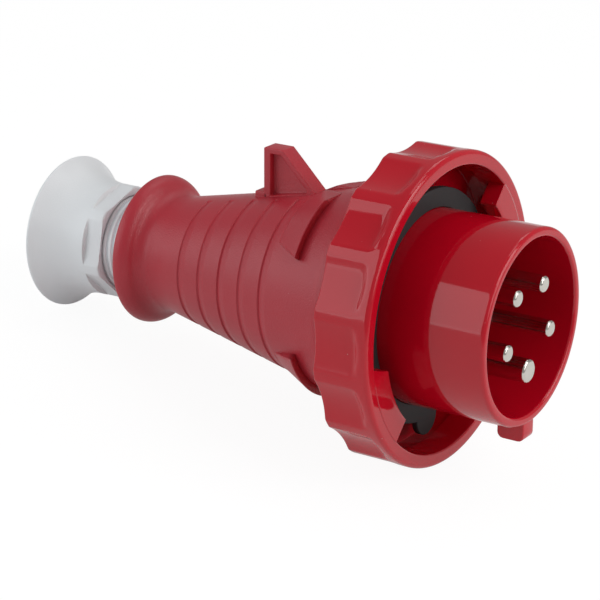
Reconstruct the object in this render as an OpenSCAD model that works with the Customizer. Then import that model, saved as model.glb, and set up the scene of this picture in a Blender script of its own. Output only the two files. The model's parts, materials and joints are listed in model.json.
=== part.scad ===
// Five-pole pin and sleeve plug, lying as it comes to rest: on the rear edge of its
// locking ring and on the rim of its gland nut, with the nose tipped up.
// Every piece is drawn in the plug's own frame and then laid down by place().
// In that frame Z runs along the plug with the mouth of the sleeve at 0 and the nose
// towards +Z, X points to the key and Y to the side. "Back" means towards -Z.

/* [Sleeve] */
// Outer diameter of the sleeve
sleeve_od = 57; // [56:0.5:58]
// Wall of the sleeve
sleeve_wall = 2.8; // [2.4:0.1:3.2]
// Mouth of the sleeve to the face of the flange gasket
sleeve_len = 33.3; // [32:0.1:35]
// Width of the key
key_w = 6; // [5:0.5:7]
// Length of the key
key_len = 8.4; // [7:0.2:10]
// Distance from the plug's axis to the outside of the key
key_reach = 33.6; // [32:0.1:34.5]

/* [Contacts] */
// Diameter of the phase and neutral pins
pin_d = 5; // [5:0.1:5]
// Diameter of the earth pin
earth_d = 7; // [7:0.1:7]
// Diameter of the circle that the pins stand on
pin_circle_d = 26; // [25.5:0.5:27]
// Mouth of the sleeve back to the tips of the pins
pin_setback = 0.5; // [0.5:0.5:3]

/* [Locking ring] */
// Outer diameter of the ring
ring_od = 92; // [90:0.5:93]
// Wall of the ring at its front rim
ring_wall = 4.2; // [3.8:0.1:4.6]
// Mouth of the sleeve back to the front face of the ring
ring_front = 26; // [25:0.5:28]
// Length of the ring
ring_len = 17.5; // [16:0.5:18.5]
// Number of grip flutes
flutes = 16; // [12:2:20]
// Depth of a flute
flute_depth = 1.65; // [1:0.05:2]
// Radius of a flute across its hollow
flute_r = 26; // [18:1:30]
// Inner radius of the two bayonet lugs
lug_r = 34.8; // [34.6:0.1:36]

/* [Rear housing] */
// Radius of the nose that the locking ring turns on
nose_r = 31.6; // [31.4:0.1:31.8]
// Mouth of the sleeve back to the start of the long taper
taper_front = 52.2; // [50:0.1:54]
// Mouth of the sleeve back to the end of the taper, at the neck
taper_back = 118; // [114:0.5:120]
// Radius of the neck
neck_r = 18; // [17:0.1:19]
// Largest radius of the rolled bead at the back
bead_r = 22.8; // [22:0.1:24]
// Wall of the rear housing
wall = 3; // [2.4:0.1:3.4]
// Number of grip grooves
grooves = 5; // [3:1:6]
// Distance from one grip groove to the next
groove_pitch = 8.38; // [8:0.02:9]
// Height of the snap catches behind the locking ring
catch_h = 2.6; // [2:0.1:3]

/* [Fin] */
// Distance from the plug's axis to the top of the fin
fin_top = 39; // [36:0.5:41]
// Thickness of the fin
fin_t = 6; // [5:0.5:7]

/* [Cable gland] */
// Outer radius of the thread on the gland body
thread_r = 14.5; // [14:0.1:15]
// Distance from one thread ridge to the next
thread_pitch = 2; // [1.5:0.25:2.5]
// Mouth of the sleeve back to the front face of the nut
nut_front = 140; // [139:0.5:142]
// Radius of the nut across its rounded corners
nut_r = 17.4; // [17:0.1:18]
// Width of the nut across its spanner flats
nut_af = 31.6; // [31:0.2:33]
// Largest radius of the bell mouth
bell_r = 23.6; // [22:0.1:25]
// Overall length of the plug
overall = 162.8; // [162:0.1:164]
// Radius of the hole that the cable goes through
cable_r = 6; // [5:0.5:7]

/* [Hidden] */
$fn = 96;
fit = 0.1;      // assembly clearance on a radius
run = 0.05;     // running clearance on a radius or face
eps = 0.5;      // how far a cutter runs past the face that it cuts

// Colours of the materials
gloss_red = [0.74, 0.02, 0.05];
satin_red = [0.62, 0.07, 0.10];
pale_grey = [0.87, 0.88, 0.89];
dark_grey = [0.16, 0.16, 0.17];
rubber_black = [0.12, 0.12, 0.12];
rubber_grey = [0.35, 0.35, 0.36];
nickel = [0.78, 0.76, 0.71];
steel = [0.66, 0.67, 0.69];

// Sleeve, flange and spigot of the front housing
sleeve_r = sleeve_od / 2;
bore_r = sleeve_r - sleeve_wall;
mouth_round = 1;
gasket_t = 2.5;
flange_r = 34.4;
flange_front = sleeve_len + gasket_t;
flange_back = flange_front + 4;
floor_front = 34;
floor_back = 40;
floor_r = 19.1;
spigot_r = 28.9;
spigot_end = 56;
seal_z = 44;
seal_d = 1.5;
key_round = 1.8;

// Contact carrier, retainer and contacts
carrier_back = 50;
retainer_back = 54;
counterbore_z = 46;
collar_h = 1.4;
shank_z = 31.8;
screw_circle_r = 22.3;
screw_turns = [108, 252];
screw_r = 1.45;
screw_depth = 37;
pin_circle_r = pin_circle_d / 2;
barrel_end = 70;
wire_depth = 13;
clamp_z = 63;
clamp_screw_r = 1.95;

// Locking ring
ring_r = ring_od / 2;
ring_in_r = ring_r - ring_wall;
ring_back = ring_front + ring_len;
rim_round = 1.3;
back_chamfer = 0.6;
web_front = flange_back + 0.4;
web_in_r = nose_r + run;
web_step = 0.6;
flute_centre_r = ring_r - flute_depth + flute_r;
flute_front = ring_front + 4.6;
flute_half = acos((pow(ring_r, 2) + pow(flute_centre_r, 2) - pow(flute_r, 2))
                  / (2 * ring_r * flute_centre_r));
lug_turn = 38.5;
lug_starts = [277.5, 97.5];
lug_back = ring_front + 5.4;
lug_lead = 4.4;

// Rear housing: its taper, neck and bead
slope = (nose_r - neck_r) / (taper_back - taper_front);
function taper_r(z) = neck_r + slope * (taper_back - z);
socket_end = 57;
chamber_back = 112;
bead_round = 4.5;
bead_back_round = 1.3;
bead_z = 129.1;
bead_c = [bead_r - bead_round, -bead_z];
neck_round = 4.5;
neck_min_r = neck_r - 0.2;
neck_c = [neck_min_r + neck_round,
          -bead_z + sqrt(pow(bead_round + neck_round, 2)
                         - pow(neck_min_r + neck_round - bead_c[0], 2))];
neck_turn = atan2(neck_c[1] - bead_c[1], neck_c[0] - bead_c[0]);
housing_back = bead_z + bead_back_round;
groove_w = 2.7;
groove_depth = 0.42;
groove_first = 74.5;
groove_gap = 12;
catch_z = 61.2;
catch_len = 9.5;
catch_edge = 29.6;
catch_slant = 24;
fin_rear = 88.5;
fin_flat = 6.7;
fin_frame = 1.7;
fin_rear_frame = 2.4;
fin_web = 1.8;
heel_len = 3.1;
heel_top = 25.4;

// Gland
stub_r = 13.35;
stub_front = 116;
body_end = 151.5;
body_bore_r = 9;
pocket_r = 11.5;
thread_h = 0.9;
pocket_front = 138;
grommet_end = body_end + 0.5;
gland_seal_z = 124;
washer_t = 1.2;
washer_in_r = 8.5;
shoulder_z = grommet_end + washer_t + 2 * run;
throat_r = 9;
throat_z = 155;
hex_back = 145.6;
bell_neck = 147;
lip_round = 0.6;
flare_run = overall - lip_round - bell_neck;
flare_drop = bell_r - nut_r;
flare_reach = (pow(flare_run, 2) + pow(flare_drop, 2)) / (2 * flare_drop);
flare_round = flare_reach - lip_round;
flare_c = [nut_r + flare_round, -bell_neck];
flare_turn = atan2(flare_run, flare_reach - flare_drop);
nut_flats = 6;

// Rest: the ring stands on the two crests beside its lowest flute, at the edge of the
// rear chamfer, and the bell mouth lies on its rounded lip
foot_z = -ring_back + back_chamfer;
foot_r = ring_r * cos(flute_half);
lip_c = [bell_r - lip_round, -overall + lip_round];
foot_span = norm([foot_z - lip_c[1], foot_r - lip_c[0]]);
tilt = atan2(foot_r - lip_c[0], foot_z - lip_c[1]) - asin(lip_round / foot_span);
rest_height = foot_r * cos(tilt) - foot_z * sin(tilt);
front_x = (key_reach - key_round) * sin(tilt) - (key_round + 0.3) * cos(tilt) + key_round;
back_x = lip_c[1] * cos(tilt) - lip_c[0] * sin(tilt) - lip_round;
rest_x = -(front_x + back_x) / 2;

// Points along an arc about c, from angle a to angle b
function arc(c, r, a, b, n = 8) =
    [for (i = [0:n]) c + r * [cos(a + (b - a) * i / n), sin(a + (b - a) * i / n)]];

// Points along a quarter of an ellipse about c with half-axes h, from angle a to angle b
function oval(c, h, a, b, n = 12) =
    [for (i = [0:n]) c + [h[0] * cos(a + (b - a) * i / n), h[1] * sin(a + (b - a) * i / n)]];

// Lays a piece down as the whole plug comes to rest
module place() {
    translate([rest_x, 0, rest_height]) rotate([0, 90 - tilt, 0]) children();
}

// A solid of revolution from [radius, z] points
module turned(points) {
    rotate_extrude() polygon(points);
}

// A part turn of a revolved section, from angle a through angle sweep
module part_turned(points, a, sweep) {
    rotate([0, 0, a]) rotate_extrude(angle = sweep) polygon(points);
}

// A cylinder from z0 back to z1, both given as distances behind the mouth
module rod(r, z0, z1) {
    translate([0, 0, -z1]) cylinder(r = r, h = z1 - z0);
}

// A flat ring from z0 back to z1
module band(r_out, r_in, z0, z1) {
    turned([[r_in, -z0], [r_out, -z0], [r_out, -z1], [r_in, -z1]]);
}

// Puts a child at contact i, counted from the earth pin
module at_contact(i) {
    rotate([0, 0, 72 * i]) translate([pin_circle_r, 0, 0]) children();
}

// Radius of contact i and of its shank, shoulder and terminal barrel
function contact_r(i) = (i == 0 ? earth_d : pin_d) / 2;
function shank_r(i) = contact_r(i) + 0.5;
function shoulder_r(i) = contact_r(i) + 2;
function barrel_r(i) = contact_r(i) + 1.4;

module front_housing() {
    color(gloss_red) place() difference() {
        union() {
            turned(concat(
                arc([bore_r + 0.7, -0.7], 0.7, 180, 90, 4),
                arc([sleeve_r - mouth_round, -mouth_round], mouth_round, 90, 0, 6),
                [[sleeve_r, -flange_front], [flange_r - 0.4, -flange_front],
                 [flange_r, -flange_front - 0.4], [flange_r, -flange_back + 0.4],
                 [flange_r - 0.4, -flange_back], [spigot_r, -flange_back],
                 [spigot_r, -spigot_end + 1], [spigot_r - 1, -spigot_end],
                 [bore_r, -spigot_end], [bore_r, -floor_back], [floor_r, -floor_back],
                 [floor_r, -floor_front], [bore_r, -floor_front]]));
            key();
        }
        band(spigot_r + eps, spigot_r - seal_d, seal_z - seal_d / 2 - 0.3,
             seal_z + seal_d / 2 + 0.3);
        for (a = screw_turns)
            rotate([0, 0, a]) translate([screw_circle_r, 0, 0])
                rod(screw_r + run, screw_depth, floor_back + eps);
    }
}

// The key: a rib along the mouth with its outer corners rounded
module key() {
    rotate([90, 0, 0]) linear_extrude(height = key_w, center = true) polygon(concat(
        [[sleeve_r - 1, -key_len - 0.3], [sleeve_r - 1, -0.3]],
        arc([key_reach - key_round, -0.3 - key_round], key_round, 90, 0, 6),
        arc([key_reach - key_round, -0.3 - key_len + key_round], key_round, 0, -90, 6)));
}

// Flat rubber ring with a pull tab below the sleeve
module flange_gasket() {
    tab_w = 11;
    tab_reach = 39.4;
    tab_t = 2;
    color(rubber_black) place() difference() {
        union() {
            band(flange_r, sleeve_r + run, sleeve_len, flange_front);
            difference() {
                union() {
                    translate([tab_reach - tab_w / 2, 0, 0])
                        rod(tab_w / 2, sleeve_len, sleeve_len + tab_t);
                    translate([sleeve_r + 2, -tab_w / 2, -sleeve_len - tab_t])
                        cube([tab_reach - tab_w / 2 - sleeve_r - 2, tab_w, tab_t]);
                }
                rod(sleeve_r + 1, 0, spigot_end);
            }
        }
        translate([31.2, 1, 0]) rod(0.9, sleeve_len - eps, flange_front + eps);
    }
}

module housing_o_ring() {
    color(rubber_black) place()
        rotate_extrude() translate([spigot_r - seal_d / 2, -seal_z]) circle(r = seal_d / 2, $fn = 32);
}

module contact_carrier() {
    color(dark_grey) place() difference() {
        union() {
            turned([[0, -floor_front + 0.6], [floor_r - fit - 0.5, -floor_front + 0.6],
                    [floor_r - fit, -floor_front + 0.1], [floor_r - fit, -floor_back],
                    [bore_r - fit, -floor_back], [bore_r - fit, -carrier_back],
                    [0, -carrier_back]]);
            for (i = [0:4]) at_contact(i)
                rod(shank_r(i) + 1.4, floor_front - 0.6 - collar_h, floor_front);
            for (i = [0:4]) rotate([0, 0, 72 * i + 36]) translate([0, -0.6, -floor_front])
                cube([floor_r - 2.5, 1.2, 0.6 + collar_h]);
        }
        for (i = [0:4]) at_contact(i) {
            rod(shank_r(i) + run, 0, carrier_back + eps);
            rod(shoulder_r(i) + run, counterbore_z, carrier_back + eps);
        }
        for (a = screw_turns)
            rotate([0, 0, a]) translate([screw_circle_r, 0, 0])
                rod(screw_r + fit, floor_back - eps, carrier_back + eps);
    }
}

module pin_retainer() {
    color(dark_grey) place() difference() {
        union() {
            rod(bore_r - fit, carrier_back, retainer_back);
            for (i = [0:4]) rotate([0, 0, 72 * i + 36]) translate([4, -0.8, -retainer_back - 5])
                cube([14, 1.6, 5 + eps]);
        }
        for (i = [0:4]) at_contact(i)
            rod(barrel_r(i) + run, carrier_back - eps, retainer_back + 6);
        for (a = screw_turns)
            rotate([0, 0, a]) translate([screw_circle_r, 0, 0])
                rod(screw_r + fit, carrier_back - eps, retainer_back + eps);
    }
}

// One of the two long screws that draw the retainer and carrier against the floor
module insert_screw(k) {
    head_r = 2.7;
    head_h = 2;
    color(steel) place() rotate([0, 0, screw_turns[k]]) translate([screw_circle_r, 0, 0])
        difference() {
            union() {
                rod(screw_r, screw_depth + 0.4, retainer_back + 1);
                rod(head_r, retainer_back, retainer_back + head_h);
            }
            for (a = [0, 90]) rotate([0, 0, a])
                translate([-1.7, -0.35, -retainer_back - head_h - eps]) cube([3.4, 0.7, 1.1 + eps]);
        }
}

// Turned brass contact: round pin, shoulder and terminal barrel with a clamp screw hole
module contact(i) {
    r = contact_r(i);
    tip = 0.9;
    color(nickel) place() at_contact(i) difference() {
        turned(concat(
            [[0, -barrel_end], [0, -pin_setback]],
            arc([r - tip, -pin_setback - tip], tip, 90, 0, 6),
            [[r, -shank_z], [shank_r(i), -shank_z], [shank_r(i), -counterbore_z],
             [shoulder_r(i), -counterbore_z],
             [shoulder_r(i), -carrier_back], [barrel_r(i), -carrier_back],
             [barrel_r(i), -barrel_end + 0.4], [barrel_r(i) - 0.4, -barrel_end]]));
        rod(r - 0.3, barrel_end - wire_depth, barrel_end + eps);
        translate([0, 0, -clamp_z]) rotate([0, 90, 0])
            cylinder(r = clamp_screw_r + run, h = barrel_r(i) + eps);
    }
}

// Slotted clamp screw, let into the side of a terminal barrel
module terminal_screw(i) {
    head_r = 3;
    head_h = 2.2;
    stand_off = 0.8;
    seat = barrel_r(i) + stand_off;
    color(steel) place() at_contact(i) translate([0, 0, -clamp_z]) rotate([0, 90, 0])
        difference() {
            union() {
                translate([0, 0, contact_r(i) - 0.9]) cylinder(r = clamp_screw_r, h = 3.6);
                translate([0, 0, seat]) cylinder(r = head_r, h = head_h);
            }
            translate([-head_r - eps, -0.4, seat + head_h - 1])
                cube([2 * (head_r + eps), 0.8, 1 + eps]);
        }
}

module rear_housing() {
    color(satin_red) place() difference() {
        union() {
            difference() {
                housing_shell();
                grip_grooves();
            }
            for (side = [0, 1]) mirror([0, side, 0]) {
                snap_catch(66);
                mirror([1, 0, 0]) snap_catch(59);
            }
            fin();
        }
        rod(spigot_r + fit, flange_back - eps, socket_end);
    }
}

// Outside and inside of the housing in one section: nose, taper, neck, bead, bore, chamber
module housing_shell() {
    turned(concat(
        [[nose_r - 0.4, -flange_back], [nose_r, -flange_back - 0.4], [nose_r, -taper_front],
         [neck_r, -taper_back]],
        arc(neck_c, neck_round, 190, 180 + neck_turn, 8),
        arc(bead_c, bead_round, neck_turn - 6, 6, 10),
        arc([bead_r - bead_back_round, -bead_z], bead_back_round, 0, -90, 6),
        [[stub_r + fit, -housing_back], [stub_r + fit, -chamber_back - 4],
         [taper_r(chamber_back) - wall - 1, -chamber_back],
         [taper_r(socket_end) - wall, -socket_end - 1],
         [taper_r(socket_end) - wall, -flange_back]]));
}

// Saw-tooth grip grooves on both flanks, each a step that runs out towards the nose
module grip_grooves() {
    for (side = [0, 1], k = [0:grooves - 1]) {
        back = groove_first + k * groove_pitch;
        front = back - groove_w;
        mirror([0, side, 0]) part_turned(
            [[taper_r(back) - groove_depth, -back], [taper_r(back) + eps, -back],
             [taper_r(front) + eps, -front], [taper_r(front), -front]],
            groove_gap, 180 - 2 * groove_gap);
    }
}

// A one-way snap catch: a wedge that rises to a step facing the ring. It runs from the
// parting plane, where it is cut flat, round to a slanting end at angle a.
module snap_catch(a) {
    reach = taper_r(catch_z) + catch_h;
    start = 5;
    difference() {
        intersection() {
            part_turned(
                [[taper_r(catch_z) - 1, -catch_z], [reach - 0.3, -catch_z],
                 [reach, -catch_z - 0.3], [taper_r(catch_z + catch_len), -catch_z - catch_len],
                 [taper_r(catch_z + catch_len) - 1, -catch_z - catch_len]], start, a - start);
            translate([0, 0, -2 * catch_z]) cube([catch_edge, 2 * ring_r, 2 * catch_z]);
        }
        rotate([0, 0, a]) translate([nose_r - 6, 0, -catch_z]) rotate([-catch_slant, 0, 0])
            translate([0, 0, -2 * catch_len]) cube([12, 12, 3 * catch_len]);
    }
}

// The fin: an upright back, a flat top and a sloping front round a recessed web, with a
// low heel block behind it
module fin() {
    root = 3;
    web_gap = (fin_t - fin_web) / 2;
    top_front = fin_rear - fin_flat;
    foot = (taper_r(0) + top_front - fin_top) / (1 + slope);
    inner = top_front - fin_top + fin_frame * sqrt(2);
    inner_foot = (taper_r(0) + inner) / (1 + slope);
    difference() {
        union() {
            fin_plate(fin_t, [
                [taper_r(fin_rear) - root, fin_rear], [fin_top, fin_rear], [fin_top, top_front],
                [taper_r(foot), foot], [taper_r(foot) - root, foot]]);
            fin_plate(fin_t, [
                [taper_r(fin_rear) - root, fin_rear - eps], [heel_top, fin_rear - eps],
                [heel_top, fin_rear + heel_len], [taper_r(fin_rear) - root, fin_rear + heel_len]]);
        }
        for (side = [0, 1]) mirror([0, side, 0])
            translate([0, (fin_web + web_gap) / 2 + eps / 2, 0])
                fin_plate(web_gap + eps, [
                    [taper_r(fin_rear - fin_rear_frame) - 0.2, fin_rear - fin_rear_frame],
                    [fin_top - fin_frame, fin_rear - fin_rear_frame],
                    [fin_top - fin_frame, inner + fin_top - fin_frame],
                    [taper_r(inner_foot) - 0.2, inner_foot]]);
    }
}

// A plate of thickness t about the middle plane, from [height, distance back] points
module fin_plate(t, points) {
    rotate([90, 0, 0]) linear_extrude(height = t, center = true)
        polygon([for (p = points) [-p[0], -p[1]]]);
}

module locking_ring() {
    color(gloss_red) place() {
        difference() {
            ring_shell();
            for (k = [0:flutes - 1]) rotate([0, 0, 360 / flutes * k])
                translate([flute_centre_r, 0, 0]) flute();
        }
        for (a = lug_starts) bayonet_lug(a);
    }
}

// Rim, wall and inward web of the ring in one section
module ring_shell() {
    turned(concat(
        arc([ring_in_r + 0.6, -ring_front - 0.6], 0.6, 180, 90, 4),
        arc([ring_r - rim_round, -ring_front - rim_round], rim_round, 90, 0, 6),
        [[ring_r, -ring_back + back_chamfer], [ring_r - back_chamfer, -ring_back],
         [web_in_r + 0.4, -ring_back], [web_in_r, -ring_back + 0.4], [web_in_r, -web_front],
         [ring_in_r + web_step, -web_front], [ring_in_r + web_step, -lug_back - 3.5],
         [ring_in_r, -lug_back - 3.5]]));
}

// A hollow of radius flute_r that runs out of the rear face and ends in a steep cone
module flute() {
    rod(flute_r, flute_front, ring_back + eps);
    translate([0, 0, -flute_front])
        cylinder(r1 = flute_r, r2 = flute_r - flute_depth - eps, h = flute_depth + eps);
}

// An inward bayonet lug, flush with the rim: its leading end slants and is chamfered in
// front, and its back face is a ramp that draws the plug home
module bayonet_lug(a) {
    rise = 1.5;
    difference() {
        part_turned(
            [[lug_r, -ring_front - 0.4], [lug_r + 0.4, -ring_front],
             [ring_in_r + 1, -ring_front], [ring_in_r + 1, -lug_back], [lug_r, -lug_back]],
            a, lug_turn);
        rotate([0, 0, a]) translate([ring_in_r, 0, -lug_back - eps]) rotate([0, 0, -25])
            translate([-12, -10, 0]) cube([12, 10, 10]);
        rotate([0, 0, a]) translate([ring_in_r, lug_lead, -ring_front]) rotate([0, 0, 8])
            rotate([30, 0, 0]) translate([-12, -12, 0]) cube([12, 12, 10]);
        rotate([0, 0, a]) translate([lug_r - 3, 0, -lug_back + rise]) rotate([-3.3, 0, 0])
            translate([0, -8, -6]) cube([10, 40, 6]);
    }
}

// Gland body: a stub in the housing, the neck with its thread as plain ridges, and the
// grommet's pocket
module gland_body() {
    seal_r = seal_d / 2;
    ridges = floor((body_end - housing_back - 1) / thread_pitch);
    color(pale_grey) place() turned(concat([
        [body_bore_r, -stub_front], [stub_r - 0.5, -stub_front], [stub_r, -stub_front - 0.5],
        [stub_r, -gland_seal_z + seal_r + 0.3], [stub_r - seal_d, -gland_seal_z + seal_r + 0.3],
        [stub_r - seal_d, -gland_seal_z - seal_r - 0.3], [stub_r, -gland_seal_z - seal_r - 0.3],
        [stub_r, -housing_back], [thread_r - thread_h, -housing_back]],
        [for (k = [0:ridges - 1], p = [[-thread_h, 0.1], [0, 0.75], [0, 1.05], [-thread_h, 1.7]])
            [thread_r + p[0], -housing_back - 0.4 - p[1] - thread_pitch * k]],
        [[thread_r - thread_h, -body_end], [pocket_r, -body_end], [pocket_r, -pocket_front],
        [body_bore_r, -pocket_front]]));
}

module gland_o_ring() {
    color(rubber_black) place()
        rotate_extrude() translate([stub_r - seal_d / 2, -gland_seal_z])
            circle(r = seal_d / 2, $fn = 32);
}

// Rubber grommet that the nut squeezes on the cable
module gland_grommet() {
    color(rubber_grey) place() turned([
        [cable_r, -pocket_front - 1], [cable_r + 1, -pocket_front], [pocket_r - 1.4, -pocket_front],
        [pocket_r - fit, -pocket_front - 2], [pocket_r - fit, -grommet_end],
        [cable_r + 1, -grommet_end], [cable_r, -grommet_end + 1]]);
}

// Slip ring between the turning nut and the grommet
module thrust_washer() {
    color(pale_grey) place()
        band(thread_r - 0.3, washer_in_r, grommet_end + run, grommet_end + run + washer_t);
}

// Nut with spanner flats in front and a smooth bell mouth behind
module gland_nut() {
    bore = thread_r + run;
    flat_r = nut_af / 2;
    color(pale_grey) place() difference() {
        turned(concat(
            [[bore + 0.6, -nut_front], [nut_r - 0.6, -nut_front], [nut_r, -nut_front - 0.6]],
            arc(flare_c, flare_round, 180, 180 + flare_turn, 14),
            arc(lip_c, lip_round, flare_turn - 8, -90, 6),
            oval([bell_r - 2.1, -throat_z], [bell_r - 2.1 - throat_r, overall - throat_z],
                 270, 180),
            [[throat_r, -shoulder_z], [bore, -shoulder_z], [bore, -nut_front - 0.6]]));
        for (k = [0:nut_flats - 1]) rotate([0, 0, 360 / nut_flats * k + 18])
            translate([flat_r, -nut_r, -hex_back]) cube([nut_r, 2 * nut_r, hex_back - nut_front + eps]);
    }
}

front_housing();
flange_gasket();
housing_o_ring();
contact_carrier();
pin_retainer();
insert_screw(0);  // insert_screw_a
insert_screw(1);  // insert_screw_b
contact(0);  // pin_earth
contact(1);  // pin_l1
contact(2);  // pin_l2
contact(3);  // pin_l3
contact(4);  // pin_neutral
terminal_screw(0);  // terminal_screw_earth
terminal_screw(1);  // terminal_screw_l1
terminal_screw(2);  // terminal_screw_l2
terminal_screw(3);  // terminal_screw_l3
terminal_screw(4);  // terminal_screw_neutral
rear_housing();
locking_ring();
gland_body();
gland_o_ring();
gland_grommet();
thrust_washer();
gland_nut();
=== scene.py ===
import json
import bpy
import numpy as np
from mathutils import Matrix


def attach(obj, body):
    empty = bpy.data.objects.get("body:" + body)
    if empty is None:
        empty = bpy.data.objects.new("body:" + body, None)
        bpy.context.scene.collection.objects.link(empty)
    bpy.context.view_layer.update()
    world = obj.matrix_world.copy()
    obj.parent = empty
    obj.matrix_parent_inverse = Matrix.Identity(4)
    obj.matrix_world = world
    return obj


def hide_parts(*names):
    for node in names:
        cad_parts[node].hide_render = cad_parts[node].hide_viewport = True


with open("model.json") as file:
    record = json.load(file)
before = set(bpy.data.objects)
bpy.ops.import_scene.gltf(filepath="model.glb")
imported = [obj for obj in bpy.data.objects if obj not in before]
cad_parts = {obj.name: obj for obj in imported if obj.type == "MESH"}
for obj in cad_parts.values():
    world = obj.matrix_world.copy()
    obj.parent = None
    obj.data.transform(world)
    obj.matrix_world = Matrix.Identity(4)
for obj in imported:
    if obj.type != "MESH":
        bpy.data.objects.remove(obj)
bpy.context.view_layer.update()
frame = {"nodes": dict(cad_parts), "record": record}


# ------------------------------------------------------------------------------------------
# Front housing: the sleeve, its floor and flange and the spigot behind them are one glossy
# red nylon moulding. The locking ring turns about its axis, and the rest of the plug is
# built up from the mouth of its sleeve, which is where every depth below is counted from.

turning = next(j for j in frame["record"]["behaviour"]["joints"] if j["name"] == "ring_turn")
nose_dir = np.array(turning["axis"]) / np.linalg.norm(turning["axis"])
joint_depth = 0.035
mouth = np.array(turning["pos_m"]) + joint_depth * nose_dir
key_dir = np.array([nose_dir[2], 0.0, -nose_dir[0]])
side_dir = np.array([0.0, 1.0, 0.0])


def laid(out, across, depth):
    """Points of the lying plug in metres: mouth of the sleeve, plus out millimetres towards
    the key, plus across millimetres to the side, less depth millimetres along the nose."""
    out, across, depth = np.broadcast_arrays(out, across, depth)
    return mouth + 0.001 * (out[..., None] * key_dir + across[..., None] * side_dir
                            - depth[..., None] * nose_dir)


def around(radius, turn, depth):
    """The same for a radius in millimetres at an angle in radians, counted from the key
    through the side: out is radius times cosine, across is radius times sine."""
    return laid(radius * np.cos(turn), radius * np.sin(turn), depth)


def arc(centre, radius, start, stop, steps):
    """Points centre + radius (cos a, sin a) for steps + 1 angles a from start to stop, in
    degrees."""
    a = np.radians(np.linspace(start, stop, steps + 1))[:, None]
    return np.asarray(centre) + radius * np.hstack([np.cos(a), np.sin(a)])


def rounded(corners, radii, steps=5, stretch=None, divide=None):
    """A closed outline through corners (n, 2) with corner k rounded to radii[k]: each corner
    gives an arc of steps segments tangent to its two edges, with one more point just beyond
    each end of the arc so that the flats stay flat in shading. Edges longer than stretch are
    divided evenly, or edge k is divided into divide[k] parts."""
    p = np.asarray(corners, float)
    radii = np.broadcast_to(np.asarray(radii, float), (len(p),))
    into = p - np.roll(p, 1, 0)
    out = np.roll(p, -1, 0) - p
    into /= np.linalg.norm(into, axis=1)[:, None]
    out /= np.linalg.norm(out, axis=1)[:, None]
    bend = np.arctan2(into[:, 0] * out[:, 1] - into[:, 1] * out[:, 0], (into * out).sum(1))
    back = radii * np.tan(np.abs(bend) / 2)
    t = np.linspace(0, 1, steps + 1)[:, None]
    loop = []
    for k in range(len(p)):
        a, b = p[k] - into[k] * back[k], p[k] + out[k] * back[k]
        if radii[k] > 0:
            centre = a + np.sign(bend[k]) * radii[k] * np.array([-into[k][1], into[k][0]])
            u = np.sin((1 - t) * bend[k]) / np.sin(bend[k])
            v = np.sin(t * bend[k]) / np.sin(bend[k])
            turn = centre + (a - centre) * u + (b - centre) * v
            lead = 0.35 * radii[k]
            loop.append(np.vstack([a - into[k] * lead, turn, b + out[k] * lead]))
        else:
            loop.append(p[k][None])
    if stretch is None and divide is None:
        return np.vstack(loop)
    filled = []
    for k, part in enumerate(loop):
        ahead = loop[(k + 1) % len(loop)][0]
        gap = np.linalg.norm(ahead - part[-1])
        n = int(gap / stretch) if divide is None else divide[k] - 1
        s = (np.arange(1, n + 1) / (n + 1))[:, None]
        filled.append(np.vstack([part, part[-1] + s * (ahead - part[-1])]))
    return np.vstack(filled)


def skin(name, grid, rows_meet=True, ends=None):
    """A smooth mesh over a grid (rows, columns, 3) of points in metres. Columns always close
    on themselves. Rows close too when rows_meet is set, and otherwise each open end closes
    on the mean of its last row. Face order is turned so that the enclosed volume is positive,
    and the attribute that it adds holds how far a point stands out from its neighbours: the
    materials paint such edges lighter, partly as wear and partly as a painted highlight."""
    grid = np.asarray(grid, float)
    rows, cols = grid.shape[:2]
    i = np.arange(rows if rows_meet else rows - 1)[:, None]
    j = np.arange(cols)[None, :]
    nxt, right = (i + 1) % rows, (j + 1) % cols
    quads = np.stack([i * cols + j, i * cols + right, nxt * cols + right, nxt * cols + j], -1)
    quads = quads.reshape(-1, 4)
    points = grid.reshape(-1, 3)
    fans = np.zeros((0, 3), int)
    if not rows_meet:
        first, last = grid[0].mean(0), grid[-1].mean(0)
        k = np.arange(cols)
        points = np.vstack([points, first, last])
        near = np.stack([np.full(cols, rows * cols), (k + 1) % cols, k], -1)
        far = np.stack([np.full(cols, rows * cols + 1), (rows - 1) * cols + k,
                        (rows - 1) * cols + (k + 1) % cols], -1)
        fans = np.vstack([near, far])
    tris = np.vstack([quads[:, [0, 1, 2]], quads[:, [0, 2, 3]], fans])
    a, b, c = (points[tris[:, n]] - points.mean(0) for n in range(3))
    if np.einsum("ij,ij->i", a, np.cross(b, c)).sum() < 0:
        quads, fans = quads[:, ::-1], fans[:, ::-1]
    mesh = bpy.data.meshes.new(name)
    mesh.from_pydata(points, [], quads.tolist() + fans.tolist())
    mesh.shade_smooth()
    spread = (np.roll(grid, 1, 0) + np.roll(grid, -1, 0) + np.roll(grid, 1, 1)
              + np.roll(grid, -1, 1)) / 4 - grid
    normals = np.empty(len(points) * 3)
    mesh.vertex_normals.foreach_get("vector", normals)
    normals = normals.reshape(-1, 3)[:rows * cols].reshape(rows, cols, 3)
    span = (np.linalg.norm(np.roll(grid, 1, 0) - grid, axis=-1)
            + np.linalg.norm(np.roll(grid, 1, 1) - grid, axis=-1)) / 2 + 1e-9
    stand = -np.einsum("ijk,ijk->ij", spread, normals) / span
    if not rows_meet:
        stand[0] = stand[-1] = 0
    # How far each point stands out. The materials paint these edges lighter, partly as wear and
    # partly as a painted highlight along the rims.
    edge_wear_and_highlight = np.zeros(len(points))
    edge_wear_and_highlight[:rows * cols] = np.clip(stand * 3, 0, 1).ravel()
    layer = mesh.attributes.new("edge_wear_and_highlight", "FLOAT", "POINT")
    layer.data.foreach_set("value", edge_wear_and_highlight)
    piece = bpy.data.objects.new(name, mesh)
    bpy.context.scene.collection.objects.link(piece)
    return piece


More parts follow.
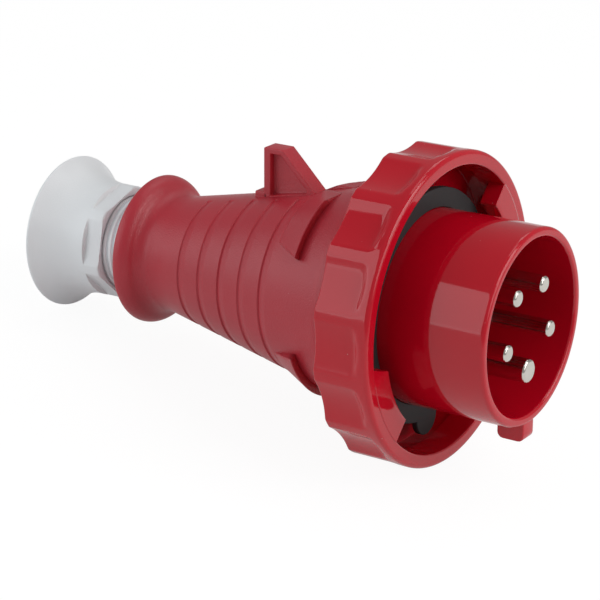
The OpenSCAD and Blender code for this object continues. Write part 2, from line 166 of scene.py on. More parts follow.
def spun(outline, turns, swell=None):
    """Grid of a closed outline (n, 2) of radius and depth carried round the axis: row i,
    column j is outline point i at angle j, with swell (n, turns) added to its radius."""
    turn = np.linspace(0, 2 * np.pi, turns, endpoint=False)[None, :]
    radius = outline[:, :1] + (0 if swell is None else swell)
    return around(radius, turn, outline[:, 1:] + 0 * turn)


sleeve_r, sleeve_bore = 28.5, 25.7
flange_r, flange_top, flange_end = 34.4, 35.8, 39.8
spigot_r, spigot_end = 28.9, 56.0
seal_r, seal_top, seal_end = 27.4, 43, 45
floor_r, floor_top, floor_end = 19.1, 34, 40
sleeve_outline = rounded(
    [(sleeve_bore, 0), (sleeve_r, 0), (sleeve_r, flange_top), (flange_r, flange_top),
     (flange_r, flange_end), (spigot_r, flange_end), (spigot_r, seal_top), (seal_r, seal_top),
     (seal_r, seal_end), (spigot_r, seal_end), (spigot_r, spigot_end), (sleeve_bore, spigot_end),
     (sleeve_bore, floor_end), (floor_r, floor_end), (floor_r, floor_top),
     (sleeve_bore, floor_top)],
    [0.9, 1.1, 0.3, 0.4, 0.4, 0.2, 0.1, 0.1, 0.1, 0.1, 0.8, 0.3, 0.2, 0.2, 0.3, 0.5],
    steps=6, stretch=3)
sleeve = skin("sleeve", spun(sleeve_outline, 256))


def inset(corners, amounts):
    """A convex outline with edge k, from corner k to the next, moved inwards by amounts[k]:
    each new corner is where its two moved edges cross."""
    p = np.asarray(corners, float)
    amounts = np.broadcast_to(np.asarray(amounts, float), (len(p),))
    edge = np.roll(p, -1, 0) - p
    area = (p[:, 0] * np.roll(p[:, 1], -1) - p[:, 1] * np.roll(p[:, 0], -1)).sum()
    inward = np.sign(area) * np.stack([-edge[:, 1], edge[:, 0]], 1)
    inward /= np.linalg.norm(inward, axis=1)[:, None]
    level = (inward * p).sum(1) + amounts
    m = np.roll(inward, 1, 0)
    lm = np.roll(level, 1)
    det = m[:, 0] * inward[:, 1] - m[:, 1] * inward[:, 0]
    return np.stack([(lm * inward[:, 1] - level * m[:, 1]) / det,
                     (m[:, 0] * level - inward[:, 0] * lm) / det], 1)


def stacked(corners, radii, layers, steps=4, divide=None):
    """Rows of a slab: for each layer (level, amounts) the rounded outline of the corners
    inset by amounts, and its level beside it, as an array (layers, points, 3)."""
    rows = []
    for level, amounts in layers:
        loop = rounded(inset(corners, amounts), radii, steps, divide=divide)
        rows.append(np.hstack([loop, np.full((len(loop), 1), level)]))
    return np.array(rows)


def slab_layers(low, high, edge, steps=4):
    """Layers of a plain slab from level low to level high with both rims rounded by edge:
    inset edge (1 - sin a) at height edge (1 - cos a) from each face."""
    a = np.linspace(0, np.pi / 2, steps + 1)
    rim = [(edge * (1 - np.cos(t)), edge * (1 - np.sin(t))) for t in a]
    start = [(low, edge + 0.3), (low, edge + 0.05)] + [(low + h, i) for h, i in rim]
    stop = [(high - h, i) for h, i in rim[::-1]] + [(high, edge + 0.05), (high, edge + 0.3)]
    return start + stop


# ------------------------------------------------------------------------------------------
# Key: a rib below the mouth of the sleeve that fits a slot in the socket, moulded with it.

key_root, key_reach, key_top, key_end, key_half = 27.3, 33.6, 0.3, 8.7, 3
key_corners = [(key_root, key_top), (key_reach, key_top), (key_reach, key_end), (key_root, key_end)]
key_rows = stacked(key_corners, [0.3, 1.8, 1.8, 0.3], slab_layers(-key_half, key_half, 0.35))
key = skin("key", laid(key_rows[..., 0], key_rows[..., 2], key_rows[..., 1]), rows_meet=False)


def shader(name):
    """A new material, its node tree and its Principled BSDF."""
    m = bpy.data.materials.new(name)
    m.use_nodes = True
    return m, m.node_tree, m.node_tree.nodes["Principled BSDF"]


def add(tree, kind, **settings):
    """A node of that kind, with its properties and its inputs set by name."""
    node = tree.nodes.new(kind)
    for key_name, value in settings.items():
        if hasattr(node, key_name):
            setattr(node, key_name, value)
        else:
            node.inputs[key_name.replace("_", " ")].default_value = value
    return node


def group(name, inputs, outputs):
    """An empty shader node group with number (f) and colour (c) sockets by name."""
    tree = bpy.data.node_groups.new(name, "ShaderNodeTree")
    kinds = {"f": "NodeSocketFloat", "c": "NodeSocketColor"}
    for label, kind, value in inputs:
        s = tree.interface.new_socket(name=label, in_out="INPUT", socket_type=kinds[kind])
        s.default_value = value
    for label, kind in outputs:
        tree.interface.new_socket(name=label, in_out="OUTPUT", socket_type=kinds[kind])
    return tree, tree.nodes.new("NodeGroupInput"), tree.nodes.new("NodeGroupOutput")


# Moulded plastic: base colour varies a little with flow, dust settles as pale specks, and
# edges that stand out are painted lighter, partly as wear and partly as a painted highlight
# along the rims. Puts out the colour, the roughness and a height for the grain.
moulding, m_in, m_out = group(
    "moulding",
    [("Colour", "c", (1, 0, 0, 1)), ("Edge_wear_and_highlight_colour", "c", (1, 0.2, 0.2, 1)), ("Gloss", "f", 0.1),
     ("Grain size", "f", 900.0), ("Edge_wear_and_highlight_amount", "f", 0.5), ("Dust", "f", 0.5)],
    [("Colour", "c"), ("Roughness", "f"), ("Height", "f")])
place = add(moulding, "ShaderNodeTexCoord")
flow = add(moulding, "ShaderNodeTexNoise", Scale=28.0, Detail=3.0, Roughness=0.5)
grain = add(moulding, "ShaderNodeTexNoise", Detail=2.0, Roughness=0.6)
speck = add(moulding, "ShaderNodeTexVoronoi", Scale=420.0, Randomness=1.0)
speck_size = add(moulding, "ShaderNodeMapRange", From_Min=0.035, From_Max=0.075,
                 To_Min=1.0, To_Max=0.0)
speck_few = add(moulding, "ShaderNodeTexNoise", Scale=160.0, Detail=1.0)
few = add(moulding, "ShaderNodeMapRange", From_Min=0.62, From_Max=0.66)
dusty = add(moulding, "ShaderNodeMath", operation="MULTIPLY")
dustier = add(moulding, "ShaderNodeMath", operation="MULTIPLY", use_clamp=True)
# Edges that stand out get the lighter edge colour: wear, and a painted highlight along the rims.
edge = add(moulding, "ShaderNodeAttribute", attribute_name="edge_wear_and_highlight")
wear_and_highlight_factor = add(moulding, "ShaderNodeMath", operation="MULTIPLY", use_clamp=True)
tone = add(moulding, "ShaderNodeMapRange", From_Min=0.3, From_Max=0.7, To_Min=0.94, To_Max=1.05)
tinted = add(moulding, "ShaderNodeMix", data_type="RGBA", blend_type="MULTIPLY")
tinted.inputs["Factor"].default_value = 1.0
wear_and_highlight_mix = add(moulding, "ShaderNodeMix", data_type="RGBA")
dusted = add(moulding, "ShaderNodeMix", data_type="RGBA")
dusted.inputs[7].default_value = (0.55, 0.45, 0.44, 1)
matt = add(moulding, "ShaderNodeMath", operation="MULTIPLY_ADD")
matt.inputs[1].default_value = 0.5
link = moulding.links.new
for texture in (flow, grain, speck, speck_few):
    link(place.outputs["Object"], texture.inputs["Vector"])
link(m_in.outputs["Grain size"], grain.inputs["Scale"])
link(speck.outputs["Distance"], speck_size.inputs["Value"])
link(speck_few.outputs["Fac"], few.inputs["Value"])
link(speck_size.outputs["Result"], dusty.inputs[0])
link(few.outputs["Result"], dusty.inputs[1])
link(dusty.outputs[0], dustier.inputs[0])
link(m_in.outputs["Dust"], dustier.inputs[1])
link(edge.outputs["Fac"], wear_and_highlight_factor.inputs[0])
link(m_in.outputs["Edge_wear_and_highlight_amount"], wear_and_highlight_factor.inputs[1])
link(flow.outputs["Fac"], tone.inputs["Value"])
link(m_in.outputs["Colour"], tinted.inputs[6])
link(tone.outputs["Result"], tinted.inputs[7])
link(wear_and_highlight_factor.outputs[0], wear_and_highlight_mix.inputs["Factor"])
link(tinted.outputs[2], wear_and_highlight_mix.inputs[6])
link(m_in.outputs["Edge_wear_and_highlight_colour"], wear_and_highlight_mix.inputs[7])
link(dustier.outputs[0], dusted.inputs["Factor"])
link(wear_and_highlight_mix.outputs[2], dusted.inputs[6])
link(dustier.outputs[0], matt.inputs[0])
link(m_in.outputs["Gloss"], matt.inputs[2])
link(dusted.outputs[2], m_out.inputs["Colour"])
link(matt.outputs[0], m_out.inputs["Roughness"])
link(grain.outputs["Fac"], m_out.inputs["Height"])


def moulded(name, colour, wear_and_highlight_colour, gloss, grain_size, grain_depth, wear_and_highlight_amount, dust, ior=1.5):
    """A moulded plastic or rubber: the moulding group feeds colour, roughness and a fine bump
    whose depth is given in metres. Edges that stand out take the lighter second colour by the
    given amount, partly as wear and partly as a painted highlight."""
    m, tree, surface = shader(name)
    mix = add(tree, "ShaderNodeGroup")
    mix.node_tree = moulding
    for label, value in (("Colour", (*colour, 1)), ("Edge_wear_and_highlight_colour", (*wear_and_highlight_colour, 1)),
                         ("Gloss", gloss), ("Grain size", grain_size), ("Edge_wear_and_highlight_amount", wear_and_highlight_amount),
                         ("Dust", dust)):
        mix.inputs[label].default_value = value
    bump = add(tree, "ShaderNodeBump", Strength=1.0, Distance=grain_depth)
    tree.links.new(mix.outputs["Colour"], surface.inputs["Base Color"])
    tree.links.new(mix.outputs["Roughness"], surface.inputs["Roughness"])
    tree.links.new(mix.outputs["Height"], bump.inputs["Height"])
    tree.links.new(bump.outputs["Normal"], surface.inputs["Normal"])
    surface.inputs["IOR"].default_value = ior
    return m


# Its second colour is the lighter red painted on edges that stand out: wear and a painted
# highlight.
gloss_red = moulded("gloss_red", (0.52, 0.002, 0.014), (0.60, 0.02, 0.035), 0.055, 140.0, 0.000004,
                    0.6, 0.6)
for piece in (sleeve, key):
    piece.data.materials.append(gloss_red)
    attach(piece, "plug_body")
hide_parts("front_housing")


# ------------------------------------------------------------------------------------------
# Flange gasket: a flat ring of black rubber on the flange, round the root of the sleeve, that
# the socket's rim presses on. The tab below is pulled to take it off.

gasket_bore, gasket_r, gasket_top, gasket_end = 28.6, 34.35, 33.3, 35.8
gasket_outline = rounded([(gasket_bore, gasket_top), (gasket_r, gasket_top),
                          (gasket_r, gasket_end), (gasket_bore, gasket_end)],
                         [0.2, 0.35, 0.2, 0.1], steps=4, stretch=2)
gasket_ring = skin("gasket_ring", spun(gasket_outline, 224))
tab_root, tab_centre, tab_r = 29.0, 33.9, 5.5
tab_loop = np.vstack([[(tab_root, -tab_r)], arc((tab_centre, 0), tab_r, -90, 90, 24),
                      [(tab_root, tab_r)]])


def flat_slab(loop, low, high, edge, steps=3):
    """Rows of a slab over any closed outline, for levels low to high: near each face the
    outline is drawn towards its middle by edge (1 - sin a) at edge (1 - cos a) from it."""
    middle = loop.mean(0)
    reach = np.linalg.norm(loop - middle, axis=1).mean()
    rows = []
    for level, amount in slab_layers(low, high, edge, steps):
        shrunk = middle + (loop - middle) * (1 - amount / reach)
        rows.append(np.hstack([shrunk, np.full((len(loop), 1), level)]))
    return np.array(rows)


tab_rows = flat_slab(tab_loop, gasket_top + 0.02, gasket_end - 0.5, 0.35)
gasket_tab = skin("gasket_tab", laid(tab_rows[..., 0], tab_rows[..., 1], tab_rows[..., 2]),
                  rows_meet=False)
# Its second colour is a lighter grey painted on edges that stand out: wear and a painted highlight.
black_rubber = moulded("black_rubber", (0.022, 0.022, 0.023), (0.05, 0.05, 0.052), 0.62,
                       2600.0, 0.00005, 0.6, 0.35, ior=1.45)
for piece in (gasket_ring, gasket_tab):
    piece.data.materials.append(black_rubber)
    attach(piece, "plug_body")
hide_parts("flange_gasket")


# ------------------------------------------------------------------------------------------
# Pins: turned brass with a bright nickel plating that tarnishes unevenly, each with a flat
# end rounded at the rim.

nickel, tree, surface = shader("nickel")
where = add(tree, "ShaderNodeTexCoord")
tarnish = add(tree, "ShaderNodeTexNoise", Scale=260.0, Detail=4.0)
shade = add(tree, "ShaderNodeMapRange", From_Min=0.35, From_Max=0.7,
            To_Min=0.10, To_Max=0.22)
tint = add(tree, "ShaderNodeMix", data_type="RGBA")
tint.inputs[6].default_value = (0.72, 0.70, 0.65, 1)
tint.inputs[7].default_value = (0.62, 0.59, 0.53, 1)
tree.links.new(where.outputs["Object"], tarnish.inputs["Vector"])
tree.links.new(tarnish.outputs["Fac"], shade.inputs["Value"])
tree.links.new(tarnish.outputs["Fac"], tint.inputs["Factor"])
tree.links.new(tint.outputs[2], surface.inputs["Base Color"])
tree.links.new(shade.outputs["Result"], surface.inputs["Roughness"])
surface.inputs["Metallic"].default_value = 1.0
for name in ("pin_earth", "pin_l1", "pin_l2", "pin_l3", "pin_neutral"):
    pin = frame["nodes"][name]
    pin.data.materials.clear()
    pin.data.materials.append(nickel)


# ------------------------------------------------------------------------------------------
# Locking ring: a glossy red moulding that turns on the housing. Its outside is scalloped
# for grip behind a plain rim, and two lugs inside draw the socket onto the gasket.

ring_r, ring_in, ring_top, ring_end = 46.0, 41.8, 26.0, 43.5
web_in, web_top, recess_r, recess_top = 31.65, 40.2, 42.4, 34.9
flutes, flute_r, flute_axis, flute_top = 16, 26.0, 70.35, 30.6
ring_outline = rounded(
    [(ring_in, ring_top), (ring_r, ring_top), (ring_r, ring_end), (web_in, ring_end),
     (web_in, web_top), (recess_r, web_top), (recess_r, recess_top), (ring_in, recess_top)],
    [0.5, 1.3, 0.6, 0.4, 0.2, 0.3, 0.2, 0.3], steps=6, stretch=0.9)

# Each flute is the hollow of a cylinder that stands beside the ring. Its front end runs out
# in a slope, and its long edges are softened where they meet the rim.
ring_turns = flutes * 40
turn = np.linspace(0, 2 * np.pi, ring_turns, endpoint=False)[None, :]
within = (turn + np.pi / flutes) % (2 * np.pi / flutes) - np.pi / flutes
runout = 6
ahead = np.clip(flute_top - ring_outline[:, 1:], 0, runout)
cutter = flute_r - ahead
hollow = flute_axis * np.cos(within) - np.sqrt(
    np.maximum(cutter ** 2 - (flute_axis * np.sin(within)) ** 2, 0.01))
softness = 0.12
drop = 0.5 * ((hollow - ring_r) - np.sqrt((hollow - ring_r) ** 2 + softness ** 2))
drop = np.where(ahead > runout - 0.5, 0, drop)
keep = np.clip((ring_outline[:, :1] - 42.5) / 2.5, 0, 1)
ring_shell = skin("ring_shell", spun(ring_outline, ring_turns, swell=drop * keep))
ring_shell.data.materials.append(gloss_red)
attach(ring_shell, "ring")
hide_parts("locking_ring")

# Each lug is a slab bent round the wall, flush with the rim. Level by level towards the axis
# its leading end slants back; its front is chamfered there, and its rear is a ramp.
lug_starts, lug_run, lug_back, lug_front_back = (277.5, 97.5), 28.2, 31.4, 29.9
lug_lead, lead_slant, chamfer = 4.4, 0.14, 0.577
for number, start in enumerate(lug_starts):
    corners = [(0.0, ring_top), (lug_run, ring_top), (lug_run, lug_back), (0.0, lug_front_back)]
    levels = [(42.3, (0, 0, 0, -0.2)), (41.8, (0, 0, 0, 0.0)), (40.0, (0, 0, 0, 1.05)),
              (38.0, (0, 0, 0, 2.15)), (36.5, (0, 0, 0, 2.95)), (35.2, (0, 0, 0, 3.6)),
              (34.95, (0.07, 0.07, 0.07, 3.8)), (34.83, (0.2, 0.2, 0.2, 3.95)),
              (34.8, (0.45, 0.45, 0.45, 4.2)), (34.8, (1.0, 1.0, 1.0, 4.7))]
    rows = stacked(corners, 0.22, levels, divide=(36, 4, 36, 4))
    lead = lug_lead - lead_slant * (ring_in - rows[..., 2])
    front = ring_top + chamfer * np.maximum(lead - rows[..., 0], 0)
    lug = skin(f"bayonet_lug_{number + 1}",
               around(rows[..., 2], np.radians(start) + rows[..., 0] / ring_in,
                      np.maximum(rows[..., 1], front)), rows_meet=False)
    lug.data.materials.append(gloss_red)
    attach(lug, "ring")


# ------------------------------------------------------------------------------------------
# Rear housing: a long red taper with a satin, finely textured surface, screwed onto the
# front housing. It has grip grooves on both flanks, four snap catches, and a rolled bead.

nose_r, taper_top, taper_end, neck_r = 31.6, 52.2, 118.0, 18.0
slope = (nose_r - neck_r) / (taper_end - taper_top)
bead_r, bead_round, bead_at, neck_round, rear_round = 22.8, 4.5, 129.1, 4.5, 1.3
housing_end = bead_at + rear_round
groove_long, groove_deep, groove_pitch = 2.7, 0.42, 8.38
groove_ends = 74.5 + groove_pitch * np.arange(5)


def taper_r(depth):
    """Radius of the taper: the neck's, plus the slope times the distance ahead of it."""
    return neck_r + slope * (taper_end - depth)


bead = np.array([bead_r - bead_round, bead_at])
neck = np.array([neck_r - 0.2 + neck_round, 0.0])
neck[1] = bead_at - np.sqrt((bead_round + neck_round) ** 2 - (neck[0] - bead[0]) ** 2)
lean = np.degrees(np.arctan2(neck[1] - bead[1], neck[0] - bead[0]))
groove_marks = np.array([-groove_long, -2.0, -1.2, -0.5, -0.12, 0.03, 0.2])
stations = np.unique(np.concatenate(
    [np.linspace(56, 116, 76)] + [b + groove_marks for b in groove_ends]))
taper = np.stack([taper_r(stations), stations], 1)

# The outline runs from the front edge down the outside, round the bead and back through the
# bore: the neck's thread, the wiring chamber and the socket that holds the spigot.
housing_outline = np.vstack([
    [(28.9, 40.2), (31.1, 39.95)], arc((31.2, 40.35), 0.4, -90, 0, 4),
    [(nose_r, 42), (nose_r, 46), (nose_r, 49.5), (nose_r, 51.5), (31.57, 52.3), (31.45, 53.2),
     (31.2, 54.2)],
    taper, [(neck_r + 0.12, 117.4)], arc(neck, neck_round, 190, 180 + lean, 10),
    arc(bead, bead_round, lean, 0, 20)[1:],
    arc((bead_r - rear_round, bead_at), rear_round, 0, 90, 8)[1:],
    [(21, housing_end), (16.4, housing_end)],
    arc((14.2, 129.7), 0.7, 90, 180, 4), [(13.5, 128), (13.5, 116), (15.5, 112), (26.6, 58),
    (26.6, 57.5), (28.9, 57), (28.9, 48)]])
housing_turns = 360
turn = np.linspace(0, 2 * np.pi, housing_turns, endpoint=False)[None, :]
depth = housing_outline[:, 1:]
from_seam = np.degrees(np.abs((turn + np.pi / 2) % np.pi - np.pi / 2))
ends = np.clip((from_seam - 11.5) / 1.5, 0, 1)
ramp = np.zeros_like(depth)
for b in groove_ends:
    ramp = np.maximum(ramp, np.where((depth > b - groove_long) & (depth < b - 0.05),
                                     (depth - b + groove_long) / groove_long, 0))
grooves = -groove_deep * ramp * ends
tapered_housing = skin("tapered_housing", spun(housing_outline, housing_turns, swell=grooves))
# Its second colour is the lighter red painted on edges that stand out: wear and a painted
# highlight.
satin_red = moulded("satin_red", (0.46, 0.026, 0.042), (0.64, 0.02, 0.035), 0.34, 2100.0,
                    0.00011, 0.5, 0.3)
tapered_housing.data.materials.append(satin_red)
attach(tapered_housing, "plug_body")
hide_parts("rear_housing")

# Snap catches: wedges that rise towards the ring and end in a step, so that the ring, once
# pushed over them, stays on. Each starts a few degrees from the seam, above or below, and its
# top is cut by a level plane.
catch_top, catch_end, catch_h, catch_edge, seam_gap = 61.2, 70.7, 2.6, 29.6, 5
catch_long = catch_end - catch_top
for number, (upper, sidewards) in enumerate(((True, 1), (True, -1), (False, 1), (False, -1))):
    along = np.linspace(0, 1, 25)[:, None]
    d_top = catch_top + catch_long * np.linspace(0, 1, 20)
    rise = catch_h * (1 - (d_top - catch_top) / catch_long)
    section_d = np.concatenate([[catch_top, catch_top], [catch_top + 0.08, catch_top + 0.35],
                                d_top[1:], [catch_end]])
    section_h = np.concatenate([[-1.2, rise[0] - 0.35], [rise[0] - 0.1, rise[0] - 0.06],
                                rise[1:], [-1.2]])
    back = (section_d - catch_top) / catch_long
    far = np.radians(121 + 9 * back) if upper else np.radians(66 - 8 * back)
    near = np.pi - np.radians(seam_gap) if upper else np.radians(seam_gap)
    phi = far + (near - far) * along
    radius = taper_r(section_d)[None, :] + section_h[None, :] + 0 * along
    radius = np.minimum(radius, catch_edge / np.abs(np.cos(phi)))
    catch = skin(f"snap_catch_{number + 1}",
                 around(radius, sidewards * phi, section_d[None, :] + 0 * along), rows_meet=False)
    catch.data.materials.append(satin_red)
    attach(catch, "plug_body")


# Fin: an upright plate on top of the taper with a thin web inside a raised border, and a
# low heel behind it. It lines the plug up and gives a finger hold.
fin_end, fin_high, fin_flat, fin_half, web_half, fin_rim = 88.5, 39.0, 6.7, 3.0, 0.9, 0.35
foot = (taper_r(0) + fin_end - fin_flat - fin_high) / (1 + slope)
fin_corners = [(taper_r(foot) - 3, foot), (taper_r(foot), foot), (fin_high, fin_end - fin_flat),
               (fin_high, fin_end), (taper_r(fin_end) - 3, fin_end)]
border = np.array([3.0, 1.7, 1.7, 2.4, 3.0])


def fin_layers(half, web, edge):
    """Levels from one face of the fin to the other: the web, the inner wall of the border,
    the border's face, the rounded outer rim, and the same again the other way round."""
    side = [(web, border + 0.35), (web + 0.05, border + 0.1), (web + 0.25, border),
            (half - 0.3, border - 0.06), (half - 0.07, border - 0.13), (half, border - 0.35),
            (half, np.full(5, edge + 0.05)), (half, np.full(5, edge)),
            (half - 0.13 * edge, np.full(5, 0.5 * edge)),
            (half - 0.5 * edge, np.full(5, 0.13 * edge)),
            (half - edge, np.zeros(5))]
    return side + [(-level, amount) for level, amount in side[::-1]]


fin_rows = stacked(fin_corners, [0.2, 0.2, 0.5, 0.4, 0.2],
                   fin_layers(fin_half, web_half, fin_rim))
fin = skin("fin", laid(-fin_rows[..., 0], fin_rows[..., 2], fin_rows[..., 1]), rows_meet=False)
heel_root, heel_high, heel_top, heel_end = 21, 25.4, 87.5, 91.6
heel_corners = [(heel_root, heel_top), (heel_high, heel_top), (heel_high, heel_end),
                (heel_root, heel_end)]
heel_rows = stacked(heel_corners, fin_rim, slab_layers(-fin_half, fin_half, fin_rim))
heel = skin("heel", laid(-heel_rows[..., 0], heel_rows[..., 2], heel_rows[..., 1]),
            rows_meet=False)
for piece in (fin, heel):
    piece.data.materials.append(satin_red)
    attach(piece, "plug_body")


# ------------------------------------------------------------------------------------------
# Gland: a pale grey threaded body in the neck of the housing, and a nut on it with spanner
# flats in front and a smooth bell mouth behind that saves the cable from a sharp bend.

# Its second colour is a whiter grey painted on edges that stand out: wear and a painted highlight.
gland_white = moulded("gland_white", (0.84, 0.865, 0.885), (0.88, 0.90, 0.91), 0.34, 2200.0,
                      0.00003, 0.4, 0.0)
thread_root, ridge_h, pitch, thread_end = 13.6, 0.88, 2.0, 151.4
turn = np.linspace(0, 2 * np.pi, 240, endpoint=False)[None, :]
wound = np.linspace(129.9, thread_end, 240)[:, None]
phase = (wound / pitch + turn / (2 * np.pi)) % 1.0
ridge = np.clip(2.2 - 4.4 * np.abs(phase - 0.5) * 1.25, 0, 1)
ridge = (ridge ** 2 * (3 - 2 * ridge) * np.clip((wound - housing_end) / 0.6, 0, 1)
         * np.clip((thread_end - wound) / 0.5, 0, 1))

# The stub in the neck: its bore, its front end, the groove of its O-ring and its shank. The
# wound rows of the helical thread follow it, and then the end face.
stub = np.array([(11.5, 138.0), (9.0, 137.9), (9.0, 116.2), (9.1, 116.0), (12.9, 116.0),
                 (13.35, 116.4), (13.35, 122.9), (11.85, 122.95), (11.85, 125.05),
                 (13.35, 125.1), (13.35, 129.3), (thread_root, 129.8)])
threaded = np.vstack([around(stub[:, :1], turn, stub[:, 1:] + 0 * turn),
                      around(thread_root + ridge_h * ridge, turn, wound + 0 * turn),
                      around(np.array([[13.5], [11.6], [11.5]]), turn,
                             np.array([[151.5], [151.5], [151.3]]) + 0 * turn)])
gland_neck = skin("gland_neck", threaded)
gland_neck.data.materials.append(gland_white)
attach(gland_neck, "plug_body")
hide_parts("gland_body")

# The nut: its six flats are cut into a cylinder, and its flare is one long hollow arc that
# ends in the rolled lip of the bell.
nut_top, nut_r, flat_r, flats_end, nut_bore = 140.0, 17.4, 15.8, 145.66, 14.5
bell_r, bell_neck, lip, length = 23.6, 147.0, 0.6, 162.8
hole_r, hole_top, throat_end = 9.0, 153.6, 155
flare_run, flare_drop = length - lip - bell_neck, bell_r - nut_r
flare_reach = (flare_run ** 2 + flare_drop ** 2) / (2 * flare_drop)
flare_turn = np.degrees(np.arctan2(flare_run, flare_reach - flare_drop))
inner = np.linspace(0, np.pi / 2, 20)[:, None]
mouth_in = np.hstack([21.5 - 12.5 * np.sin(inner),
                      length - (length - throat_end) * (1 - np.cos(inner))])
nut_outline = np.vstack([
    [(15.1, nut_top)], [(16.2, nut_top)], arc((nut_r - 0.6, nut_top + 0.6), 0.6, -90, 0, 4),
    np.stack([np.full(16, nut_r), np.concatenate([np.linspace(141, 145.2, 8),
             [145.45, 145.58, 145.66, 145.8], np.linspace(146.0, 146.9, 4)])], 1),
    arc((nut_r + flare_reach - lip, bell_neck), lip - flare_reach, 0, -flare_turn, 28),
    arc((bell_r - lip, length - lip), lip, -flare_turn, 90, 9)[1:],
    mouth_in,
    [(hole_r, hole_top), (nut_bore, hole_top), (nut_bore, 150), (nut_bore, 145),
     (nut_bore, 141), (14.6, 140.6)]])
nut_turns = 360
turn = np.linspace(0, 2 * np.pi, nut_turns, endpoint=False)[None, :]
off_flat = (turn - np.radians(18) + np.pi / 6) % (np.pi / 3) - np.pi / 6
radius, depth = nut_outline[:, :1], nut_outline[:, 1:]
over = radius - flat_r / np.cos(off_flat)
cut = 0.5 * (over + np.sqrt(over ** 2 + 0.05 ** 2))
fade = np.clip((flats_end - depth) / 0.1, 0, 1) * (radius > 15.5)
bell_nut = skin("bell_nut", spun(nut_outline, nut_turns, swell=-cut * fade))
bell_nut.data.materials.append(gland_white)
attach(bell_nut, "nut")
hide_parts("gland_nut")

# The thrust washer that the nut presses on is of the same plastic.
washer = frame["nodes"]["thrust_washer"]
washer.data.materials.clear()
washer.data.materials.append(gland_white)


# ------------------------------------------------------------------------------------------
# Inside: the carrier that holds the pins and its retainer are dark plastic, the screws are
# steel, and the seals and the grommet are rubber. They keep their own solids.

# Their second colours are lighter greys painted on edges that stand out: wear and a painted
# highlight.
dark_grey = moulded("dark_grey", (0.03, 0.03, 0.032), (0.06, 0.06, 0.06), 0.4, 1500.0,
                    0.00003, 0.4, 0.2)
grey_rubber = moulded("grey_rubber", (0.09, 0.09, 0.095), (0.12, 0.12, 0.12), 0.6, 1800.0,
                      0.00003, 0.3, 0.2)
steel, tree, surface = shader("steel")
where = add(tree, "ShaderNodeTexCoord")
brushed = add(tree, "ShaderNodeTexNoise", Scale=900.0, Detail=3.0)
shade = add(tree, "ShaderNodeMapRange", To_Min=0.25, To_Max=0.45)
tree.links.new(where.outputs["Object"], brushed.inputs["Vector"])
tree.links.new(brushed.outputs["Fac"], shade.inputs["Value"])
tree.links.new(shade.outputs["Result"], surface.inputs["Roughness"])
surface.inputs["Base Color"].default_value = (0.6, 0.6, 0.6, 1)
surface.inputs["Metallic"].default_value = 1.0
finish_of = {"contact_carrier": dark_grey, "pin_retainer": dark_grey, "gland_grommet": grey_rubber,
             "housing_o_ring": black_rubber, "gland_o_ring": black_rubber}
for name, node in frame["nodes"].items():
    if name in finish_of or "screw" in name:
        node.data.materials.clear()
        node.data.materials.append(finish_of.get(name, steel))


# ------------------------------------------------------------------------------------------
# Floor, soft lights and camera. The floor is white paper that keeps the plug's shadow, and
# the camera sees the world as white.

reach, sunk = 6, -0.0002
floor_mesh = bpy.data.meshes.new("floor")
floor_mesh.from_pydata([(-reach, -reach, sunk), (reach, -reach, sunk), (reach, reach, sunk),
                        (-reach, reach, sunk)], [], [(0, 1, 2, 3)])
floor = bpy.data.objects.new("floor", floor_mesh)
bpy.context.scene.collection.objects.link(floor)
paper, tree, surface = shader("paper")
surface.inputs["Base Color"].default_value = (0.8, 0.8, 0.8, 1)
surface.inputs["Roughness"].default_value = 0.9
glow = add(tree, "ShaderNodeEmission", Strength=1.06)
path = add(tree, "ShaderNodeLightPath")
seen = add(tree, "ShaderNodeMath", operation="MAXIMUM")
share = add(tree, "ShaderNodeMath", operation="MULTIPLY")
share.inputs[1].default_value = 0.88
half = add(tree, "ShaderNodeMath", operation="MULTIPLY")
half.inputs[1].default_value = 0.4
blend = add(tree, "ShaderNodeMixShader")
tree.links.new(path.outputs["Is Camera Ray"], seen.inputs[0])
tree.links.new(path.outputs["Is Glossy Ray"], half.inputs[0])
tree.links.new(half.outputs[0], seen.inputs[1])
tree.links.new(seen.outputs[0], share.inputs[0])
tree.links.new(share.outputs[0], blend.inputs[0])
tree.links.new(surface.outputs[0], blend.inputs[1])
tree.links.new(glow.outputs[0], blend.inputs[2])
tree.links.new(blend.outputs[0], tree.nodes["Material Output"].inputs["Surface"])
floor_mesh.materials.append(paper)

world = bpy.data.worlds.new("studio")
world.use_nodes = True
tree = world.node_tree
sky = tree.nodes["Background"]
path = add(tree, "ShaderNodeLightPath")
level = add(tree, "ShaderNodeMapRange", To_Min=0.33, To_Max=1.0)
tree.links.new(path.outputs["Is Camera Ray"], level.inputs["Value"])
tree.links.new(level.outputs["Result"], sky.inputs["Strength"])
sky.inputs["Color"].default_value = (1, 1, 1, 1)
bpy.context.scene.world = world


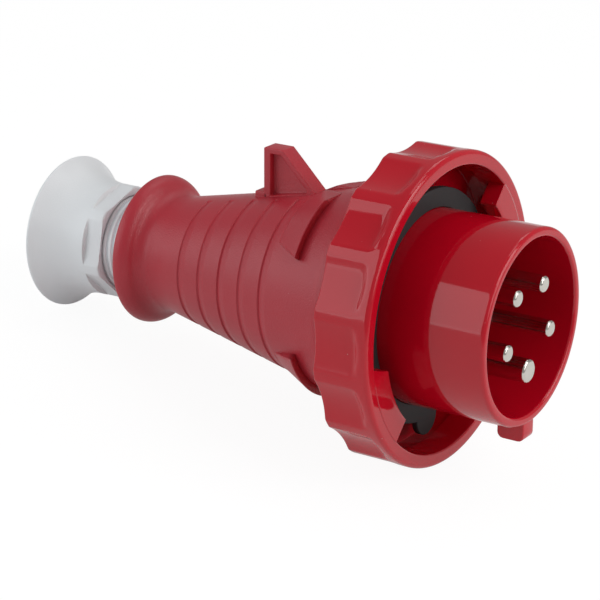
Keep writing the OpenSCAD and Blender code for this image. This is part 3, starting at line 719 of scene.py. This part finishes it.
def soft_light(name, azimuth, height, distance, width, tall, radiance, colour):
    """A rectangular lamp aimed at a point 50 mm above the origin: it stands at that distance
    in the direction given by azimuth and height in degrees, and its power is worked out from
    the radiance wanted."""
    a, h = np.radians(azimuth), np.radians(height)
    back = np.array([np.cos(h) * np.cos(a), np.cos(h) * np.sin(a), np.sin(h)])
    right = np.cross((0, 0, 1), back)
    right /= np.linalg.norm(right)
    pose = np.eye(4)
    pose[:3, 0], pose[:3, 1], pose[:3, 2] = right, np.cross(back, right), back
    pose[:3, 3] = np.array([0, 0, 0.05]) + distance * back
    light = bpy.data.lights.new(name, "AREA")
    light.shape, light.size, light.size_y = "RECTANGLE", width, tall
    light.energy = radiance * np.pi * width * tall
    light.color = colour
    lamp = bpy.data.objects.new(name, light)
    lamp.matrix_world = Matrix(pose.tolist())
    bpy.context.scene.collection.objects.link(lamp)


soft_light("near_panel", -136, 16, 0.9, 0.92, 0.72, 1.5, (0.93, 0.97, 1.0))
soft_light("nose_panel", 8, 28, 0.9, 0.95, 0.42, 1.9, (1.0, 0.99, 0.98))
soft_light("key_light", 8, 50, 0.9, 0.62, 0.28, 3.6, (1.0, 0.99, 0.98))
soft_light("far_panel", 110, 50, 0.9, 0.4, 0.3, 1.2, (1.0, 1.0, 1.0))
soft_light("top_panel", 95, 76, 0.9, 0.5, 0.3, 1.2, (1.0, 1.0, 1.0))

camera = bpy.data.objects.new("camera", bpy.data.cameras.new("camera"))
camera.data.lens = 138.8
camera.data.sensor_width = 36
camera.data.clip_start, camera.data.clip_end = 0.05, 20


def from_plug(v):
    """A vector of the plug's own frame, nose, side, up, turned into the row's frame."""
    return v[0] * nose_dir + v[1] * side_dir - v[2] * key_dir


placing = np.eye(4)
placing[:3, 0] = from_plug((0.8338, 0.5521, 0.0041))
placing[:3, 1] = from_plug((-0.1826, 0.2688, 0.9457))
placing[:3, 2] = np.cross(placing[:3, 0], placing[:3, 1])
placing[:3, 3] = mouth + from_plug((0.27902, -0.54020, 0.21563))
camera.matrix_world = Matrix(placing.tolist())
bpy.context.scene.collection.objects.link(camera)
bpy.context.scene.camera = camera
bpy.context.scene.view_settings.view_transform = "Standard"
